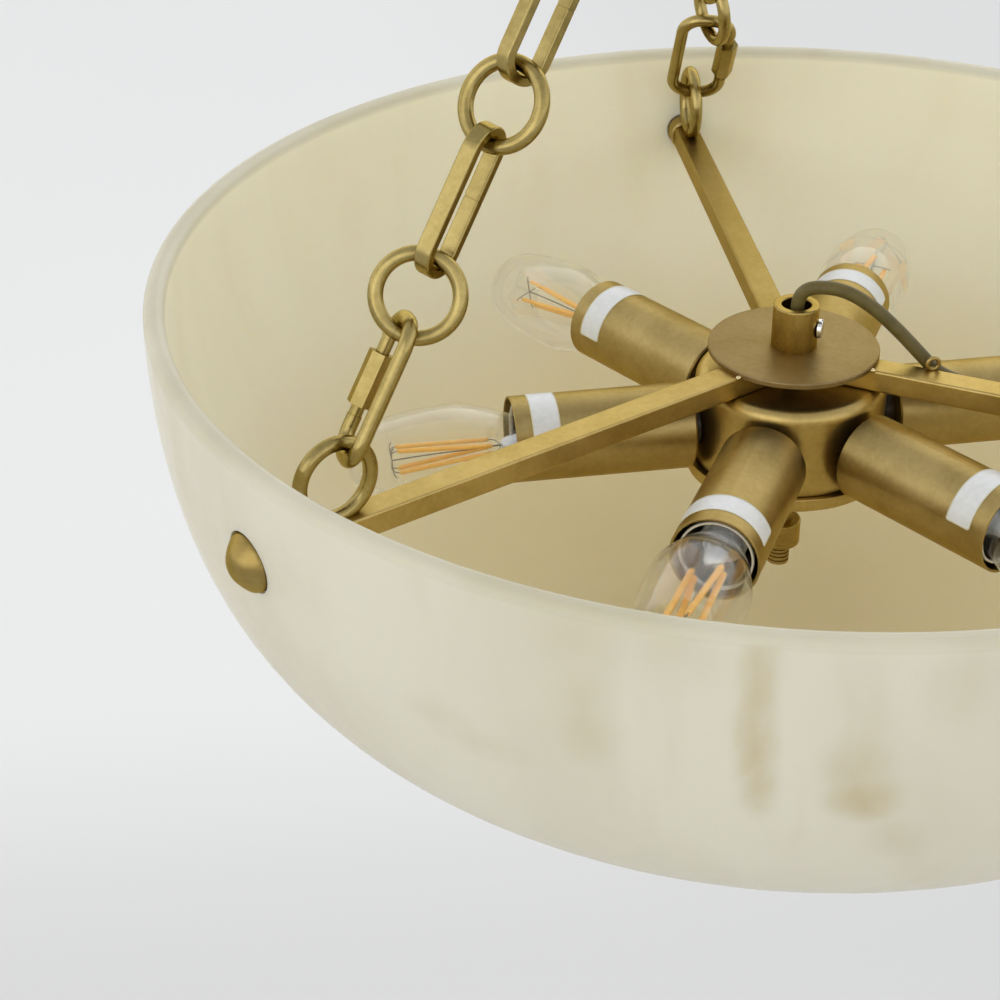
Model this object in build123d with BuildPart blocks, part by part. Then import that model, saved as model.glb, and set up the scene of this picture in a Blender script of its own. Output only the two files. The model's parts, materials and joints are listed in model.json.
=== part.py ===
from build123d import *
import math
import os

os.makedirs("parts", exist_ok=True)

# Alabaster bowl pendant. Millimetres, Z up, origin on the ceiling at the centre
# of the canopy. Heights below are measured from the bowl's rim plane and turned
# into Z by zz(). The back arm lies along +Y.
RIM = -456.0


def zz(h):
    return h + RIM


ARM_AZ = {"left": 210.0, "right": 330.0, "back": 90.0}
LAMP_AZ = {"front": 243.8, "front_right": 303.6, "right": 3.3, "back": 63.3, "back_left": 123.3, "left": 183.3}


def unit(az):
    a = math.radians(az)
    return Vector(math.cos(a), math.sin(a), 0)


def side(az):
    a = math.radians(az)
    return Vector(-math.sin(a), math.cos(a), 0)


def at(az, r, off, h):
    return unit(az) * r + side(az) * off + Vector(0, 0, zz(h))


def axial(az, x0, h):
    """upright plane through the axis, x outwards along az, y up"""
    return Plane(origin=at(az, x0, 0, h), x_dir=unit(az), z_dir=-side(az))


def save(bp, name):
    bp.part.label = name
    export_step(bp.part, f"parts/{name}.step")
    v = bp.part.volume
    print(f"{name:24s} solids {len(bp.part.solids())} volume {v:10.1f}")


# ------------------------------------------------------------------ bowl
BOWL_R, BOWL_H, EXP_R, EXP_H = 279.0, 181.5, 5.168, 2.273
WALL = 9.0
ARM_TOP, ARM_BOT, ARM_W = -37.8, -47.9, 12.5
ARM_MID = 0.5 * (ARM_TOP + ARM_BOT)


def bowl_r(h):
    return BOWL_R * (1 - (abs(h) / BOWL_H) ** EXP_H) ** (1 / EXP_R)


outer = [(bowl_r(h), float(h)) for h in (0, -20, -40, -60, -80, -100, -120, -136, -149, -159)]
BOTTOM = -189.0
# below the last measured point the wall runs on to a gently rounded bottom
xr, xh = outer[-1]
slope = (bowl_r(-158.5) - bowl_r(-159.5))
c0, c1 = (xr, xh), (0.0, BOTTOM)
k0 = 52.0
ln = math.hypot(slope, 1)
p1 = (c0[0] - k0 * slope / ln, c0[1] - k0 / ln)
p2 = (c1[0] + 95.0, c1[1])
for t in (0.18, 0.36, 0.55, 0.76):
    u = 1 - t
    outer.append((u**3 * c0[0] + 3 * u * u * t * p1[0] + 3 * u * t * t * p2[0] + t**3 * c1[0],
                  u**3 * c0[1] + 3 * u * u * t * p1[1] + 3 * u * t * t * p2[1] + t**3 * c1[1]))
outer.append((0.0, BOTTOM))
inner = []
for i, (r, h) in enumerate(outer):
    if i == 0:
        inner.append((r - WALL, 0.0))
        continue
    if i == len(outer) - 1:
        inner.append((0.0, h + WALL + 1.0))
        continue
    a, b = outer[i - 1], outer[i + 1]
    tx, ty = b[0] - a[0], b[1] - a[1]
    n = math.hypot(tx, ty)
    inner.append((r + ty / n * WALL, h - tx / n * WALL))

with BuildPart() as bowl:
    with BuildSketch(Plane.XZ.offset(0)) as prof:
        with BuildLine():
            lo = Spline([(r, zz(h)) for r, h in outer], tangents=[(0, -1), (-1, 0)])
            Line((0, zz(outer[-1][1])), (0, zz(inner[-1][1])))
            li = Spline([(r, zz(h)) for r, h in inner], tangents=[(0, -1), (-1, 0)])
            Line((inner[0][0], zz(0)), (outer[0][0], zz(0)))
        make_face()
    revolve(axis=Axis.Z)
    rim_edges = bowl.edges().filter_by(GeomType.CIRCLE).group_by(Axis.Z)[-1]
    fillet(rim_edges, 3.4)
    # three fixing holes with a flat seat turned inside and outside
    for az in ARM_AZ.values():
        with BuildSketch(Plane(origin=at(az, 273.4, 0, ARM_MID), x_dir=side(az), z_dir=unit(az))):
            Circle(13.0)
        extrude(amount=20, mode=Mode.SUBTRACT)
        with BuildSketch(Plane(origin=at(az, 269.0, 0, ARM_MID), x_dir=side(az), z_dir=unit(az))):
            Circle(8.4)
        extrude(amount=-12, mode=Mode.SUBTRACT)
        with BuildSketch(Plane(origin=at(az, 250, 0, ARM_MID), x_dir=side(az), z_dir=unit(az))):
            Circle(3.6)
        extrude(amount=40, mode=Mode.SUBTRACT)
save(bowl, "bowl")

# ------------------------------------------------- wall fixings at the arms
with BuildPart() as dome_nuts:
    for az in ARM_AZ.values():
        pl = Plane(origin=at(az, 274.2, 0, ARM_MID), x_dir=side(az), z_dir=unit(az))
        with BuildSketch(axial(az, 274.2, ARM_MID)):
            with BuildLine():
                Line((0, 3.0), (0, 12.3))
                Line((0, 12.3), (1.6, 12.3))
                Spline([(1.6, 12.3), (5.6, 10.3), (8.8, 6.4), (10.3, 0)], tangents=[(1, 0), (0, -1)])
                Line((10.3, 0), (7.5, 0))
                Line((7.5, 0), (7.5, 3.0))
                Line((7.5, 3.0), (0, 3.0))
            make_face()
        revolve(axis=Axis(pl.origin, pl.z_dir))
save(dome_nuts, "dome_nuts")

with BuildPart() as wall_studs:
    for az in ARM_AZ.values():
        with BuildSketch(Plane(origin=at(az, 259.0, 0, ARM_MID), x_dir=side(az), z_dir=unit(az))):
            Circle(3.0)
        extrude(amount=21.4)
save(wall_studs, "wall_studs")

for label, r0, t, ro in (("wall_grommets", 267.4, 1.6, 7.8), ("wall_washers", 273.4, 0.8, 11.9)):
    with BuildPart() as washers:
        for az in ARM_AZ.values():
            with BuildSketch(Plane(origin=at(az, r0, 0, ARM_MID), x_dir=side(az), z_dir=unit(az))):
                Circle(ro)
                Circle(3.1, mode=Mode.SUBTRACT)
            extrude(amount=t)
    save(washers, label)

# ------------------------------------------------------------ chain geometry
SLOPE = math.radians(59.2)
PITCH = 77.5
RING_R, WIRE = 16.0, 3.0          # mean radius and wire radius of every ring
EYE_IN, EYE_MEAN, EYE_WIRE = 6.5, 9.0, 2.5
EYE_TAU = PITCH * 5 + 12.85 + EYE_IN
RUN = EYE_TAU + EYE_MEAN + 2.7
# radius and height of each end ring's centre; the back one stands nearer the wall
FOOT = {210.0: (237.0, -21.3), 330.0: (237.0, -21.3), 90.0: (249.0, -20.6)}
# the three chains come in to the collector at one radius and height
SEAT_R, SEAT_H = 237.0 - RUN * math.cos(SLOPE), -21.3 + RUN * math.sin(SLOPE)


def chain_slope(az):
    r, h = FOOT[az]
    return math.atan2(SEAT_H - h, r - SEAT_R)


def chain_dir(az):
    s = chain_slope(az)
    return unit(az) * (-math.cos(s)) + Vector(0, 0, math.sin(s))


def chain_pt(az, tau):
    return at(az, FOOT[az][0], 0, FOOT[az][1]) + chain_dir(az) * tau


def bolt_extra(az):
    """how much longer the eye bolt's shank is than on the side chains"""
    r, h = FOOT[az]
    return math.hypot(SEAT_H - h, r - SEAT_R) - RUN


def cross_dir(az, ang):
    """direction across the chain: 0 is level and sideways, 90 is out and up"""
    n = side(az)
    m = chain_dir(az).cross(n)
    a = math.radians(ang)
    return n * math.cos(a) + m * math.sin(a)


def torus_at(center, normal, mean, wire):
    x = normal.cross(Vector(0.31, 0.52, 0.8)).normalized()
    with BuildPart(Plane(origin=center, x_dir=x, z_dir=normal), mode=Mode.PRIVATE) as tb:
        Torus(mean, wire)
    return tb.part


with BuildPart() as end_rings:
    for az in ARM_AZ.values():
        add(torus_at(at(az, FOOT[az][0], 0, FOOT[az][1]), side(az), RING_R, WIRE))
save(end_rings, "end_rings")

with BuildPart() as arm_end_bosses:
    for az in ARM_AZ.values():
        with BuildPart(Plane(origin=at(az, 258.0, 0, ARM_MID), x_dir=side(az), z_dir=unit(az)), mode=Mode.PRIVATE) as boss:
            Cylinder(8.0, 9.4, align=(Align.CENTER, Align.CENTER, Align.MIN))
            fillet(boss.edges().filter_by(GeomType.CIRCLE).sort_by(lambda e: e.center().dot(unit(az)))[0], 1.5)
            with Locations((0, 0, 1.0)):
                Cylinder(3.0, 8.4, align=(Align.CENTER, Align.CENTER, Align.MIN), mode=Mode.SUBTRACT)
        add(boss.part)
    add(torus_at(at(90.0, FOOT[90.0][0], 0, FOOT[90.0][1]), side(90.0), RING_R, WIRE + 0.15), mode=Mode.SUBTRACT)
save(arm_end_bosses, "arm_end_bosses")

# small rings and clips that hold the supply cable on the right arm
R_AZ = ARM_AZ["right"]
dR, nR = unit(R_AZ), side(R_AZ)
EYE_C = at(R_AZ, 60.6, 5.2, -34.9)
CABLE_OFF = 10.5
CLIP_H = -44.6
with BuildPart() as cable_clips:
    add(torus_at(EYE_C, nR * math.cos(math.radians(35)) - dR * math.sin(math.radians(35)), 2.6, 0.95))
    for r, off, h, ro in ((112.0, CABLE_OFF, CLIP_H, 4.25), (176.0, CABLE_OFF + 0.17, CLIP_H - 0.3, 4.4)):
        with BuildSketch(Plane(origin=at(R_AZ, r - 3.5, off, h), x_dir=nR, z_dir=dR)):
            Circle(ro)
            Circle(3.5, mode=Mode.SUBTRACT)
        extrude(amount=7.0)
save(cable_clips, "cable_clips")

# ---------------------------------------------------------------- hub arms
for name, az in ARM_AZ.items():
    with BuildPart() as arm:
        with BuildSketch(Plane(origin=at(az, 10.0, 0, ARM_MID), x_dir=side(az), z_dir=unit(az))):
            Rectangle(ARM_W, ARM_TOP - ARM_BOT)
        extrude(amount=248.0)
        u = unit(az)
        long_edges = [e for e in arm.edges() if e.length > 200]
        fillet(long_edges, 1.1)
        add(torus_at(at(az, FOOT[az][0], 0, FOOT[az][1]), side(az), RING_R, WIRE), mode=Mode.SUBTRACT)
        if name == "right":
            add(torus_at(EYE_C, nR * math.cos(math.radians(35)) - dR * math.sin(math.radians(35)), 2.6, 0.95), mode=Mode.SUBTRACT)
    save(arm, f"arm_{name}")

# ------------------------------------------------------------------- hub
TUBE = 5.0
with BuildPart() as hub_top_disc:
    with BuildSketch(Plane.XY.offset(zz(ARM_TOP))):
        Circle(37.4)
        Circle(TUBE, mode=Mode.SUBTRACT)
    extrude(amount=2.4)
    fillet(hub_top_disc.edges().filter_by(GeomType.CIRCLE).group_by(SortBy.RADIUS)[-1].group_by(Axis.Z)[-1], 0.7)
save(hub_top_disc, "hub_top_disc")

COL0, COL1 = -35.4, -15.9
SCREW_H = -26.5
SCREW_AZ = -22.7
with BuildPart() as cable_collar:
    with BuildSketch(Plane.XY.offset(zz(COL0))):
        Circle(10.0)
        Circle(TUBE, mode=Mode.SUBTRACT)
    extrude(amount=COL1 - COL0)
    with BuildSketch(Plane.XY.offset(zz(-24.0))):
        Circle(6.4)
    extrude(amount=20, mode=Mode.SUBTRACT)
    fillet(cable_collar.edges().filter_by(GeomType.CIRCLE).group_by(Axis.Z)[-1], 0.7)
    with BuildSketch(Plane(origin=at(SCREW_AZ, 6.6, 0, SCREW_H), x_dir=side(SCREW_AZ), z_dir=unit(SCREW_AZ))):
        Circle(2.0)
    extrude(amount=6, mode=Mode.SUBTRACT)
save(cable_collar, "cable_collar")

with BuildPart() as collar_screw:
    with BuildSketch(Plane(origin=at(SCREW_AZ, 6.6, 0, SCREW_H), x_dir=side(SCREW_AZ), z_dir=unit(SCREW_AZ))):
        Circle(2.0)
    extrude(amount=3.6)
    with BuildSketch(Plane(origin=at(SCREW_AZ, 10.1, 0, SCREW_H), x_dir=side(SCREW_AZ), z_dir=unit(SCREW_AZ))):
        Circle(4.2)
    extrude(amount=2.0)
    fillet(collar_screw.edges().filter_by(GeomType.CIRCLE).sort_by(lambda e: e.center().dot(unit(SCREW_AZ)))[-1], 0.7)
    with BuildSketch(Plane(origin=at(SCREW_AZ, 11.4, 0, SCREW_H), x_dir=side(SCREW_AZ), z_dir=unit(SCREW_AZ))):
        Rectangle(1.0, 9.0)
    extrude(amount=1.5, mode=Mode.SUBTRACT)
save(collar_screw, "collar_set_screw")

HUB_R, HUB_T, HUB_B = 42.0, ARM_BOT, -88.0
LAMP_H = -71.4
with BuildPart() as hub_body:
    with BuildSketch(Plane.XY.offset(zz(HUB_B))):
        Circle(HUB_R)
    extrude(amount=HUB_T - HUB_B)
    fillet(hub_body.edges().filter_by(GeomType.CIRCLE).group_by(Axis.Z)[-1], 5.5)
    with BuildSketch(Plane.XY.offset(zz(HUB_B))):
        Circle(HUB_R - 1.6)
    extrude(amount=HUB_T - HUB_B - 6.5, mode=Mode.SUBTRACT)
    with BuildSketch(Plane.XY.offset(zz(HUB_T - 6.5))):
        Circle(HUB_R - 6.0)
    extrude(amount=4.7, mode=Mode.SUBTRACT)
    with BuildSketch(Plane.XY.offset(zz(HUB_T) + 1)):
        Circle(TUBE)
    extrude(amount=-8, mode=Mode.SUBTRACT)
    for az in LAMP_AZ.values():
        with BuildSketch(Plane(origin=at(az, 30, 0, LAMP_H), x_dir=side(az), z_dir=unit(az))):
            Circle(7.0)
        extrude(amount=20, mode=Mode.SUBTRACT)
save(hub_body, "hub_body")

with BuildPart() as hub_cover:
    with BuildSketch(Plane.XY.offset(zz(-94.4))):
        Circle(44.6)
    extrude(amount=6.0)
    fillet(hub_cover.edges().filter_by(GeomType.CIRCLE).group_by(Axis.Z)[0], 0.8)
    fillet(hub_cover.edges().filter_by(GeomType.CIRCLE).group_by(Axis.Z)[-1], 0.6)
    with BuildSketch(Plane.XY.offset(zz(-92.4))):
        Circle(38.0)
    extrude(amount=10, mode=Mode.SUBTRACT)
    with BuildSketch(Plane.XY.offset(zz(-88.4))):
        Circle(40.2)
        Circle(38.0, mode=Mode.SUBTRACT)
    extrude(amount=3.0)
    with BuildSketch(Plane.XY.offset(zz(-96))):
        Circle(TUBE)
    extrude(amount=6, mode=Mode.SUBTRACT)
save(hub_cover, "hub_cover")

with BuildPart() as centre_tube:
    with BuildSketch(Plane.XY.offset(zz(-147.0))):
        Circle(TUBE)
    extrude(amount=147.0 - 26.0)
    with BuildSketch(Plane.XY.offset(zz(-148))):
        Circle(3.5)
    extrude(amount=130, mode=Mode.SUBTRACT)
    with BuildSketch(Plane.XZ.offset(-10)):
        with Locations((0, zz(-72.0))):
            SlotOverall(12.0, 6.0, rotation=90)
    extrude(amount=20, mode=Mode.SUBTRACT)
    for h in (-138.6, -140.6, -142.6, -144.6):
        with BuildSketch(Plane.XY.offset(zz(h))):
            Circle(6.0)
            Circle(4.45, mode=Mode.SUBTRACT)
        extrude(amount=-0.9, mode=Mode.SUBTRACT)
save(centre_tube, "centre_tube")

with BuildPart() as hub_nuts:
    for h, t in ((-99.4, 5.0), (-60.0, 5.0)):
        with BuildSketch(Plane.XY.offset(zz(h))):
            RegularPolygon(8.0, 6, major_radius=False)
            Circle(TUBE, mode=Mode.SUBTRACT)
        extrude(amount=t)
    with BuildSketch(Plane.XY.offset(zz(-55.0))):
        Circle(11.0)
        Circle(TUBE, mode=Mode.SUBTRACT)
    extrude(amount=5.3)
save(hub_nuts, "hub_nuts")

with BuildPart() as knob_nut:
    with BuildSketch(Plane.XY.offset(zz(-136.6))):
        Circle(9.2)
        Circle(TUBE, mode=Mode.SUBTRACT)
    extrude(amount=12.3)
    kn = knob_nut.edges().filter_by(GeomType.CIRCLE).group_by(SortBy.RADIUS)[-1]
    fillet(kn, 0.8)
save(knob_nut, "knob_nut")

# ------------------------------------------------------------------ lamps
S0, S1 = 46.0, 125.5
# filament bulbs: pear-shaped neck, a long barrel and a round end, measured along
# the bulb's own axis in the same figures as the sleeves
BULB_MID, BULB_R, GLASS_T = 152.0, 21.3, 0.9
END_C, END_R = 178.5, 18.8
PIVOT = 98.0                       # middle of the cap's thread
# each bulb hangs down a little in its holder, in degrees
SAG = {"front": 0.0, "front_right": 2.0, "right": 3.0, "back": 4.0, "back_left": 4.0, "left": 4.0}


def bulb_dir(name):
    a = math.radians(SAG[name])
    return unit(LAMP_AZ[name]) * math.cos(a) - Vector(0, 0, math.sin(a))


def bulb_plane(name):
    """upright plane through the bulb's own axis, x outwards, y up"""
    az = LAMP_AZ[name]
    return Plane(origin=at(az, PIVOT, 0, LAMP_H) - bulb_dir(name) * PIVOT, x_dir=bulb_dir(name), z_dir=-side(az))


with BuildPart() as lamp_sleeves:
    for az in LAMP_AZ.values():
        ax = Axis(at(az, 0, 0, LAMP_H), unit(az))
        with BuildSketch(axial(az, 0, LAMP_H)):
            Polygon((S0, 9.0), (S0, 18.3), (S0 + 0.7, 19.0), (S1 - 0.3, 19.0), (S1, 18.7), (S1, 18.1), (S1 - 0.3, 17.8),
                    (S0 + 1.8, 17.8), (S0 + 1.8, 9.0), align=None)
        revolve(axis=ax)
save(lamp_sleeves, "lamp_sleeves")

with BuildPart() as lampholders:
    for az in LAMP_AZ.values():
        ax = Axis(at(az, 0, 0, LAMP_H), unit(az))
        with BuildSketch(axial(az, 0, LAMP_H)):
            Polygon((38.5, 0), (38.5, 7.0), (42.0, 7.0), (42.0, 9.0), (52.0, 9.0), (52.0, 13.6), (112.0, 13.6), (114.0, 15.7),
                    (123.0, 15.7), (123.0, 15.0), (113.5, 13.4), (110.0, 12.0), (105.4, 10.9), (105.4, 8.4), (87.2, 8.4), (87.2, 0), align=None)
        revolve(axis=ax)
save(lampholders, "lampholders")


def barrel(r_mid, r_end):
    """point where the round end meets the barrel's long arc, and that arc's middle point"""
    w = END_C - BULB_MID
    big = (w * w + r_mid**2 - r_end**2) / (2 * (r_mid - r_end))
    a = math.atan2(w, big - r_mid)
    join = (END_C + r_end * math.sin(a), r_end * math.cos(a))
    half = (BULB_MID + big * math.sin(a / 2), r_mid - big + big * math.cos(a / 2))
    return join, half, (END_C + r_end * math.sin((a + math.pi / 2) / 2), r_end * math.cos((a + math.pi / 2) / 2))


for name, az in LAMP_AZ.items():
    pl = bulb_plane(name)
    ax = Axis(pl.origin, pl.x_dir)
    with BuildPart() as glass:
        with BuildSketch(pl):
            with BuildLine():
                t = GLASS_T
                j_o, h_o, e_o = barrel(BULB_R, END_R)
                j_i, h_i, e_i = barrel(BULB_R - t, END_R - t)
                Line((110.6, 9.9 - t), (110.6, 9.9))
                Spline([(110.6, 9.9), (114.0, 10.2), (119.0, 11.3), (125.5, 13.6), (133.5, 17.1), (142.5, 20.1), (BULB_MID, BULB_R)],
                       tangents=[(1, 0), (1, 0)])
                ThreePointArc((BULB_MID, BULB_R), h_o, j_o)
                ThreePointArc(j_o, e_o, (END_C + END_R, 0))
                Line((END_C + END_R, 0), (END_C + END_R - t, 0))
                ThreePointArc((END_C + END_R - t, 0), e_i, j_i)
                ThreePointArc(j_i, h_i, (BULB_MID, BULB_R - t))
                Spline([(BULB_MID, BULB_R - t), (142.7, 20.1 - t), (133.9, 17.15 - t), (125.8, 13.6 - t), (119.2, 11.3 - t),
                        (114.0, 10.2 - t), (110.6, 9.9 - t)], tangents=[(-1, 0), (-1, 0)])
            make_face()
        revolve(axis=ax)
    save(glass, f"bulb_glass_{name}")
    with BuildPart() as inside:
        with BuildSketch(pl):
            Polygon((110.6, 0), (110.6, 7.6), (112.4, 6.8), (115.0, 4.6), (119.0, 3.6), (126.0, 3.0), (130.0, 2.2), (131.5, 0), align=None)
        revolve(axis=ax)
        d0 = pl.x_dir

        def along(x, w=Vector(0, 0, 0)):
            return pl.origin + d0 * x + w

        runs = [(along(130.0), along(178.6), 0.55)]
        for q in (45, 135, 225, 315):
            a = math.radians(q)
            w = side(az) * math.cos(a) + pl.y_dir * math.sin(a)
            p0, p1, p2, p3 = along(127.0, w * 1.8), along(133.6, w * 6.8), along(176.0, w * 6.0), along(178.4)
            runs += [(p0, p1, 0.5), (p1, p2, 0.9), (p2, p3, 0.45)]
        for a0, a1, rr in runs:
            d = (a1 - a0).normalized()
            with BuildSketch(Plane(origin=a0 - d * 0.2, z_dir=d)):
                Circle(rr)
            extrude(amount=(a1 - a0).length + 0.4)
    save(inside, f"bulb_filament_{name}")
    with BuildPart() as cap:
        with BuildSketch(pl):
            pts = [(87.6, 0), (87.6, 2.3), (88.4, 2.6), (90.2, 4.6)]
            x = 91.2
            while x < 105.5:
                pts += [(x, 6.1), (x + 1.1, 6.9), (x + 2.2, 6.1)]
                x += 2.9
            pts += [(106.2, 6.6), (107.6, 9.9), (110.6, 9.9), (110.6, 0)]
            Polygon(*pts, align=None)
        revolve(axis=ax)
    save(cap, f"bulb_cap_{name}")

# ------------------------------------------------------------------ chains
TWIST = {
    # quick link, ring 1, flat 1, ring 2, flat 2, ring 3, flat 3, ring 4, flat 4, ring 5, eye bolt
    "left": [-24.5, -42, -69, -72, -88, -90, -90, -90, -90, -90, -90],
    "back": [-8, 14, 30, 44, 60, 74, 86, 90, 90, 90, 90],
    "right": [0, 0, 0, 0, 0, 0, 0, 0, 0, 0, 0],
}
QL_END, FL_END = 12.85, 12.1     # ring centre to the link's inner end face
QL_HALF, FL_HALF = 12.0, 9.0      # middle of the link to the middle of its leg
Q_SLEEVE_SIDE = {"left": -1, "back": -1, "right": -1}


def stadium(center, along, across, half_in, half_w, corner, section):
    """closed link: path of an oblong with rounded ends, swept by a section"""
    nrm = along.cross(across)
    pl = Plane(origin=center, x_dir=along, z_dir=nrm)
    with BuildPart(mode=Mode.PRIVATE) as lk:
        with BuildLine(pl) as path:
            a, b, c = half_in, half_w, corner
            k = c * (1 - math.sqrt(0.5))
            Line((-a + c, -b), (a - c, -b))
            ThreePointArc((a - c, -b), (a - k, -b + k), (a, -b + c))
            if b - c > 0.01:
                Line((a, -b + c), (a, b - c))
            ThreePointArc((a, b - c), (a - k, b - k), (a - c, b))
            Line((a - c, b), (-a + c, b))
            ThreePointArc((-a + c, b), (-a + k, b - k), (-a, b - c))
            if b - c > 0.01:
                Line((-a, b - c), (-a, -b + c))
            ThreePointArc((-a, -b + c), (-a + k, -b + k), (-a + c, -b))
        start = pl.from_local_coords(Vector(-a + c, -b, 0))
        with BuildSketch(Plane(origin=start, x_dir=pl.y_dir, z_dir=pl.x_dir)):
            if section == "round":
                Circle(3.0)
            else:
                RectangleRounded(4.0, 6.8, 0.7)
        sweep(path=path.wire())
    return lk.part


# quick links, each closed by a screwed hexagon sleeve on one leg
with BuildPart() as quick_links:
    for name, az in ARM_AZ.items():
        t = chain_dir(az)
        e = cross_dir(az, TWIST[name][0])
        mid = chain_pt(az, PITCH / 2)
        leg = mid + e * (QL_HALF * Q_SLEEVE_SIDE[name])
        with BuildPart(mode=Mode.PRIVATE) as ql:
            add(stadium(mid, t, e, PITCH / 2 - QL_END + 3.0, QL_HALF, 10.0, "round"))
            # the gap that the sleeve closes, and the leg turned down for the thread
            with BuildSketch(Plane(origin=leg - t * 14.4, x_dir=e, z_dir=t)):
                Circle(4.5)
                Circle(2.7, mode=Mode.SUBTRACT)
            extrude(amount=32.6, mode=Mode.SUBTRACT)
            with BuildSketch(Plane(origin=leg - t * 9.6, x_dir=e, z_dir=t)):
                Circle(4.0)
            extrude(amount=2.6, mode=Mode.SUBTRACT)
        add(ql.part)
save(quick_links, "quick_links")

for name, az in ARM_AZ.items():
    t = chain_dir(az)
    tw = TWIST[name]
    e = cross_dir(az, tw[0])
    leg = chain_pt(az, PITCH / 2) + e * (QL_HALF * Q_SLEEVE_SIDE[name])
    with BuildPart() as hx:
        with BuildSketch(Plane(origin=leg - t * 10.2, x_dir=e, z_dir=t)):
            RegularPolygon(4.6, 6, major_radius=False)
            Circle(2.78, mode=Mode.SUBTRACT)
        extrude(amount=22.0)
    save(hx, f"quick_link_sleeve_{name}")
    with BuildPart() as rings:
        for k in range(1, 6):
            c = chain_pt(az, PITCH * k)
            n = cross_dir(az, tw[2 * k - 1])
            with BuildPart(mode=Mode.PRIVATE) as one:
                add(torus_at(c, n, RING_R, WIRE))
                # the closed butt seam in the wire
                q = t.rotate(Axis((0, 0, 0), n), 172)
                with BuildSketch(Plane(origin=c + q * RING_R, x_dir=q, z_dir=n.cross(q))):
                    Circle(3.4)
                    Circle(2.75, mode=Mode.SUBTRACT)
                extrude(amount=0.25, both=True, mode=Mode.SUBTRACT)
            add(one.part)
    save(rings, f"chain_rings_{name}")
    with BuildPart() as flats:
        for k in range(1, 5):
            c = chain_pt(az, PITCH * (k + 0.5))
            e = cross_dir(az, tw[2 * k])
            lk = stadium(c, t, e, PITCH / 2 - FL_END + 2.0, FL_HALF, FL_HALF, "flat")
            with BuildPart(mode=Mode.PRIVATE) as one:
                add(lk)
                # butt seam half way along one leg
                s = -1 if name == "left" else 1
                p = c + e * (FL_HALF * s) + t * 2.0
                with BuildSketch(Plane(origin=p, x_dir=e, z_dir=t)):
                    Rectangle(6, 9)
                    Rectangle(3.4, 6.2, mode=Mode.SUBTRACT)
                extrude(amount=0.25, both=True, mode=Mode.SUBTRACT)
            add(one.part)
    save(flats, f"flat_links_{name}")

# ------------------------------------------------------- collector and loops
with BuildPart() as eye_bolts:
    for name, az in ARM_AZ.items():
        t = chain_dir(az)
        e = cross_dir(az, TWIST[name][-1])
        c = chain_pt(az, EYE_TAU)
        with BuildPart(mode=Mode.PRIVATE) as eb:
            add(torus_at(c, t.cross(e), EYE_MEAN, EYE_WIRE))
            with BuildSketch(Plane(origin=c + t * EYE_MEAN, x_dir=e, z_dir=t)):
                Circle(2.5)
            extrude(amount=11.5 + bolt_extra(az))
        add(eb.part)
save(eye_bolts, "eye_bolts")

sr, sh = SEAT_R, SEAT_H
cone = math.cos(SLOPE) / math.sin(SLOPE)
with BuildPart() as collector:
    with BuildSketch(Plane.XZ):
        with BuildLine():
            h0 = sh - (sr - 12.0) * cone
            h1 = sh + (30.0 - sr) * cone
            l = Polyline((0, zz(h0)), (12.0, zz(h0)), (30.0, zz(h1)), (30.0, zz(h1 + 3.6)), (28.6, zz(h1 + 5.0)))
            Spline((28.6, zz(h1 + 5.0)), (17.0, zz(h1 + 9.4)), (9.5, zz(356.0)), tangents=[(-1, 0.28), (-0.25, 1)])
            Polyline((9.5, zz(356.0)), (9.5, zz(360.0)), (0, zz(360.0)), (0, zz(h0)))
        make_face()
    revolve(axis=Axis.Z)
    with BuildSketch(Plane.XY.offset(zz(361))):
        Circle(4.0)
    extrude(amount=-13, mode=Mode.SUBTRACT)
    for name, az in ARM_AZ.items():
        t = chain_dir(az)
        c = chain_pt(az, EYE_TAU)
        with BuildSketch(Plane(origin=c + t * (EYE_MEAN + 2.0 + bolt_extra(az)), x_dir=side(az), z_dir=t)):
            Circle(2.5)
        extrude(amount=9.5, mode=Mode.SUBTRACT)
save(collector, "collector")

LOOP_MEAN = 11.0
TOPLOOP_H = 374.0
PIVOT_Y_H = TOPLOOP_H + LOOP_MEAN - WIRE - 0.35 - WIRE          # sideways pivot, along Y
HANG_MEAN = 14.0
HANG_H = PIVOT_Y_H + HANG_MEAN
PIVOT_X_H = PIVOT_Y_H + 2 * HANG_MEAN - 2 * WIRE - 0.35          # fore-and-aft pivot, along X
CANLOOP_H = PIVOT_X_H + LOOP_MEAN
print("pivot Y at", zz(PIVOT_Y_H), "pivot X at", zz(PIVOT_X_H), "canopy loop centre h", CANLOOP_H)
with BuildPart() as top_loop:
    add(torus_at(Vector(0, 0, zz(TOPLOOP_H)), Vector(0, 1, 0), LOOP_MEAN, WIRE))
    with BuildSketch(Plane.XY.offset(zz(360.0))):
        Circle(7.4)
    extrude(amount=2.4)
    with BuildSketch(Plane.XY.offset(zz(348.5))):
        Circle(4.0)
    extrude(amount=13.0)
save(top_loop, "top_loop")

with BuildPart() as hanging_ring:
    add(torus_at(Vector(0, 0, zz(HANG_H)), Vector(1, 0, 0), HANG_MEAN, WIRE))
save(hanging_ring, "hanging_ring")

LOOP_TOP = CANLOOP_H + LOOP_MEAN + WIRE      # about 425.3
with BuildPart() as canopy_loop:
    add(torus_at(Vector(0, 0, zz(CANLOOP_H)), Vector(0, 1, 0), LOOP_MEAN, WIRE))
    with BuildSketch(Plane.XY.offset(zz(LOOP_TOP - 2.0))):
        Circle(7.6)
    extrude(amount=2.8)
    with BuildSketch(Plane.XY.offset(zz(LOOP_TOP - 1.0))):
        Circle(5.0)
    extrude(amount=452.5 - LOOP_TOP + 1.0)
save(canopy_loop, "canopy_loop")

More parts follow.
